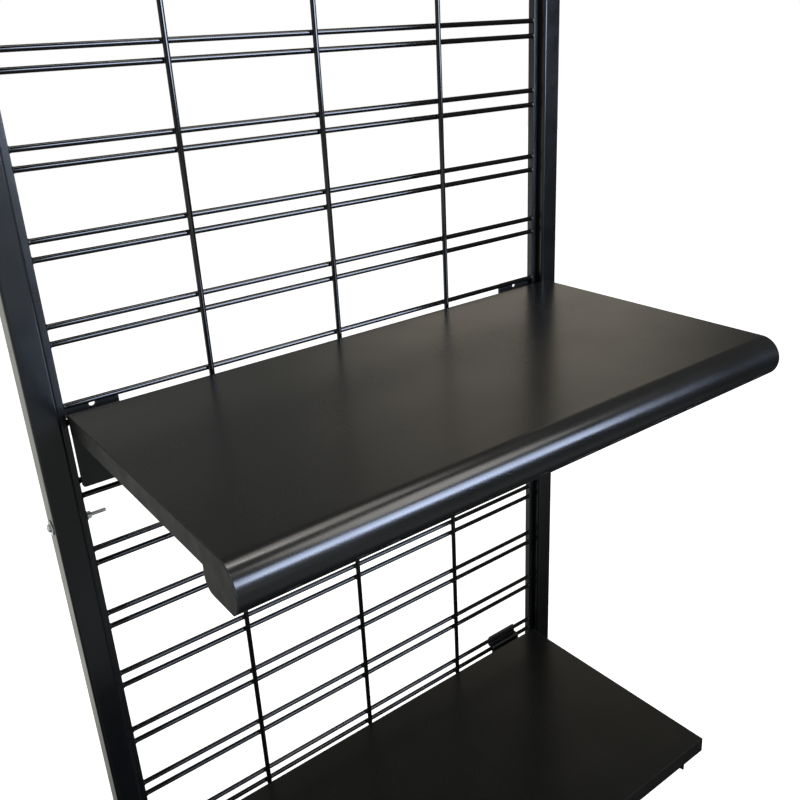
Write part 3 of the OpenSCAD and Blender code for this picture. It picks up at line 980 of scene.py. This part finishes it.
def upper_outline():
    """Side view of the upper shelf: rear edge, top, half-round nose, step underneath."""
    r, rear_r, eased, top = NOSE_R, 11.0, 0.5, BOARD_T
    step, front, nose_low = -UPPER_DEPTH, -UPPER_DEPTH - NOSE_DEPTH, top - NOSE_H
    cy, cz = front + r, top - r
    stop = -math.degrees(math.asin((cz - nose_low) / r))
    points = arc(-eased, top - eased, eased, 0, 90, 4)
    points += [(-60, top), (step, top)]
    points += arc(cy, cz, r, 90, 180 - stop, 44)
    points += [(cy + 4, nose_low), (step - rear_r, nose_low)]
    points += arc(step - rear_r, nose_low + rear_r, rear_r, -90, 0, 14)[1:]
    points += [(step, 0), (step + 60, 0)]
    points += arc(-eased, eased, eased, -90, 0, 4)
    return points


def build_shelves(mats):
    lo, hi = box_mm("upper_board")
    elo, ehi = box_mm("upper_end_bands")
    side_view = outline(leaning("upper", upper_outline()))
    panel = Shape()
    panel.solid("x", (0, 0, 0), side_view, lo[0], hi[0], 0)
    make_piece(panel, "upper_panel", ("upper_board", "upper_nose"), "upper_shelf", mats["foil"])
    ends = Shape()
    ends.solid("x", (0, 0, 0), side_view, elo[0], lo[0], 0.45, (True, False))
    ends.solid("x", (0, 0, 0), side_view, hi[0], ehi[0], 0.45, (False, True))
    make_piece(ends, "upper_ends", "upper_end_bands", "upper_shelf", mats["band"])

    lo, hi = box_mm("lower_board")
    elo, ehi = box_mm("lower_end_bands")
    t, front, e = BOARD_T, -LOWER_DEPTH, 0.45
    joint = front + 1
    rear_top, rear_low = arc(-e, t - e, e, 0, 90, 4), arc(-e, e, e, -90, 0, 4)
    front_top, front_low = arc(front + e, t - e, e, 90, 180, 4), arc(front + e, e, e, 180, 270, 4)
    slab = Shape()
    slab_view = outline(leaning("lower", rear_top + [(joint, t), (joint, 0)] + rear_low))
    slab.solid("x", (0, 0, 0), slab_view, lo[0], hi[0], 0)
    make_piece(slab, "lower_panel", "lower_board", "lower_shelf", mats["foil_plain"])
    strip = Shape()
    strip_view = outline(leaning("lower", [(joint, t)] + front_top + front_low + [(joint, 0)]))
    strip.solid("x", (0, 0, 0), strip_view, lo[0], hi[0], 0)
    make_piece(strip, "lower_front", "lower_front_band", "lower_shelf", mats["band"])
    whole = outline(leaning("lower", rear_top + front_top + front_low + rear_low))
    tapes = Shape()
    tapes.solid("x", (0, 0, 0), whole, elo[0], lo[0], 0.4, (True, False))
    tapes.solid("x", (0, 0, 0), whole, hi[0], ehi[0], 0.4, (False, True))
    make_piece(tapes, "lower_ends", "lower_end_bands", "lower_shelf", mats["band"])


# ---------------------------------------------------------------- floor

def make_floor():
    """Pale paper to the camera; to the unit, painted light: glowing patches that stand for the room's lit
    floor.
    """
    mesh = bpy.data.meshes.new("floor")
    n, size = 8, 16.0
    verts = [(size * (i / n - 0.5), size * (j / n - 0.5), 0.0) for j in range(n + 1) for i in range(n + 1)]
    faces = [(a, a + 1, a + n + 2, a + n + 1)
             for j in range(n) for a in range(j * (n + 1), j * (n + 1) + n)]
    mesh.from_pydata(verts, [], faces)
    floor = add_object("floor", mesh)
    material = bpy.data.materials.new("floor_paper_and_painted_light")
    material.use_nodes = True
    tree = material.node_tree
    tree.nodes.clear()
    new, link = tree.nodes.new, tree.links.new
    pale = new("ShaderNodeBsdfDiffuse")
    pale.inputs[0].default_value = (0.92, 0.92, 0.92, 1)
    glow = new("ShaderNodeEmission")
    glow.inputs[0].default_value = (1, 1, 1, 1)
    glow.inputs[1].default_value = 0.85
    lit = new("ShaderNodeAddShader")
    link(pale.outputs[0], lit.inputs[0])
    link(glow.outputs[0], lit.inputs[1])
    # painted light that the unit sees, glowing from the floor: dark close in front, lighter behind, at the
    # sides and far in front
    coords = new("ShaderNodeTexCoord")
    split = new("ShaderNodeSeparateXYZ")
    link(coords.outputs["Object"], split.inputs[0])
    total = (0.03, 0.03, 0.03)
    for spans, color in (((("Y", 0.2, 1.2), ("X", 1.0, -0.5)), (0.78, 0.78, 0.72)),
                         ((("Y", -0.45, -0.95), ("X", 2.3, 0.4)), (0.24, 0.25, 0.24)),
                         ((("Y", -2.6, -3.6), ("X", 2.4, 0.9)), (0.42, 0.49, 0.53)),
                         ((("X", 2.5, 4.5), ("Y", -1.8, -0.3)), (0.35, 0.35, 0.35)),
                         ((("X", -1.0, -3.0), ("Y", -3.0, -1.0)), (0.35, 0.35, 0.35))):
        fades = [smooth_step(tree, split.outputs[axis], start, end) for axis, start, end in spans]
        total = add_patch(tree, total, fades, color)
    # painted light: the patches glow as emission in place of the room's lit floor
    dim = new("ShaderNodeEmission")
    link(total, dim.inputs[0])
    show_by_ray(tree, dim, lit, "ShaderNodeOutputMaterial")
    mesh.materials.append(material)


# ---------------------------------------------------------------- all together

make_camera()
make_world()
make_light()
make_floor()
bpy.context.scene.view_settings.view_transform = "Standard"

materials = make_materials()
build_posts(materials)
build_wires(materials)
build_panel_bolts(materials)
build_base(materials)
for place in ("upper_left", "upper_right", "lower_left", "lower_right"):
    build_hook(place + "_hook", place + "_bracket", materials)
    build_arm(place + "_arm", place + "_hook", place + "_bracket", materials)
build_shelves(materials)
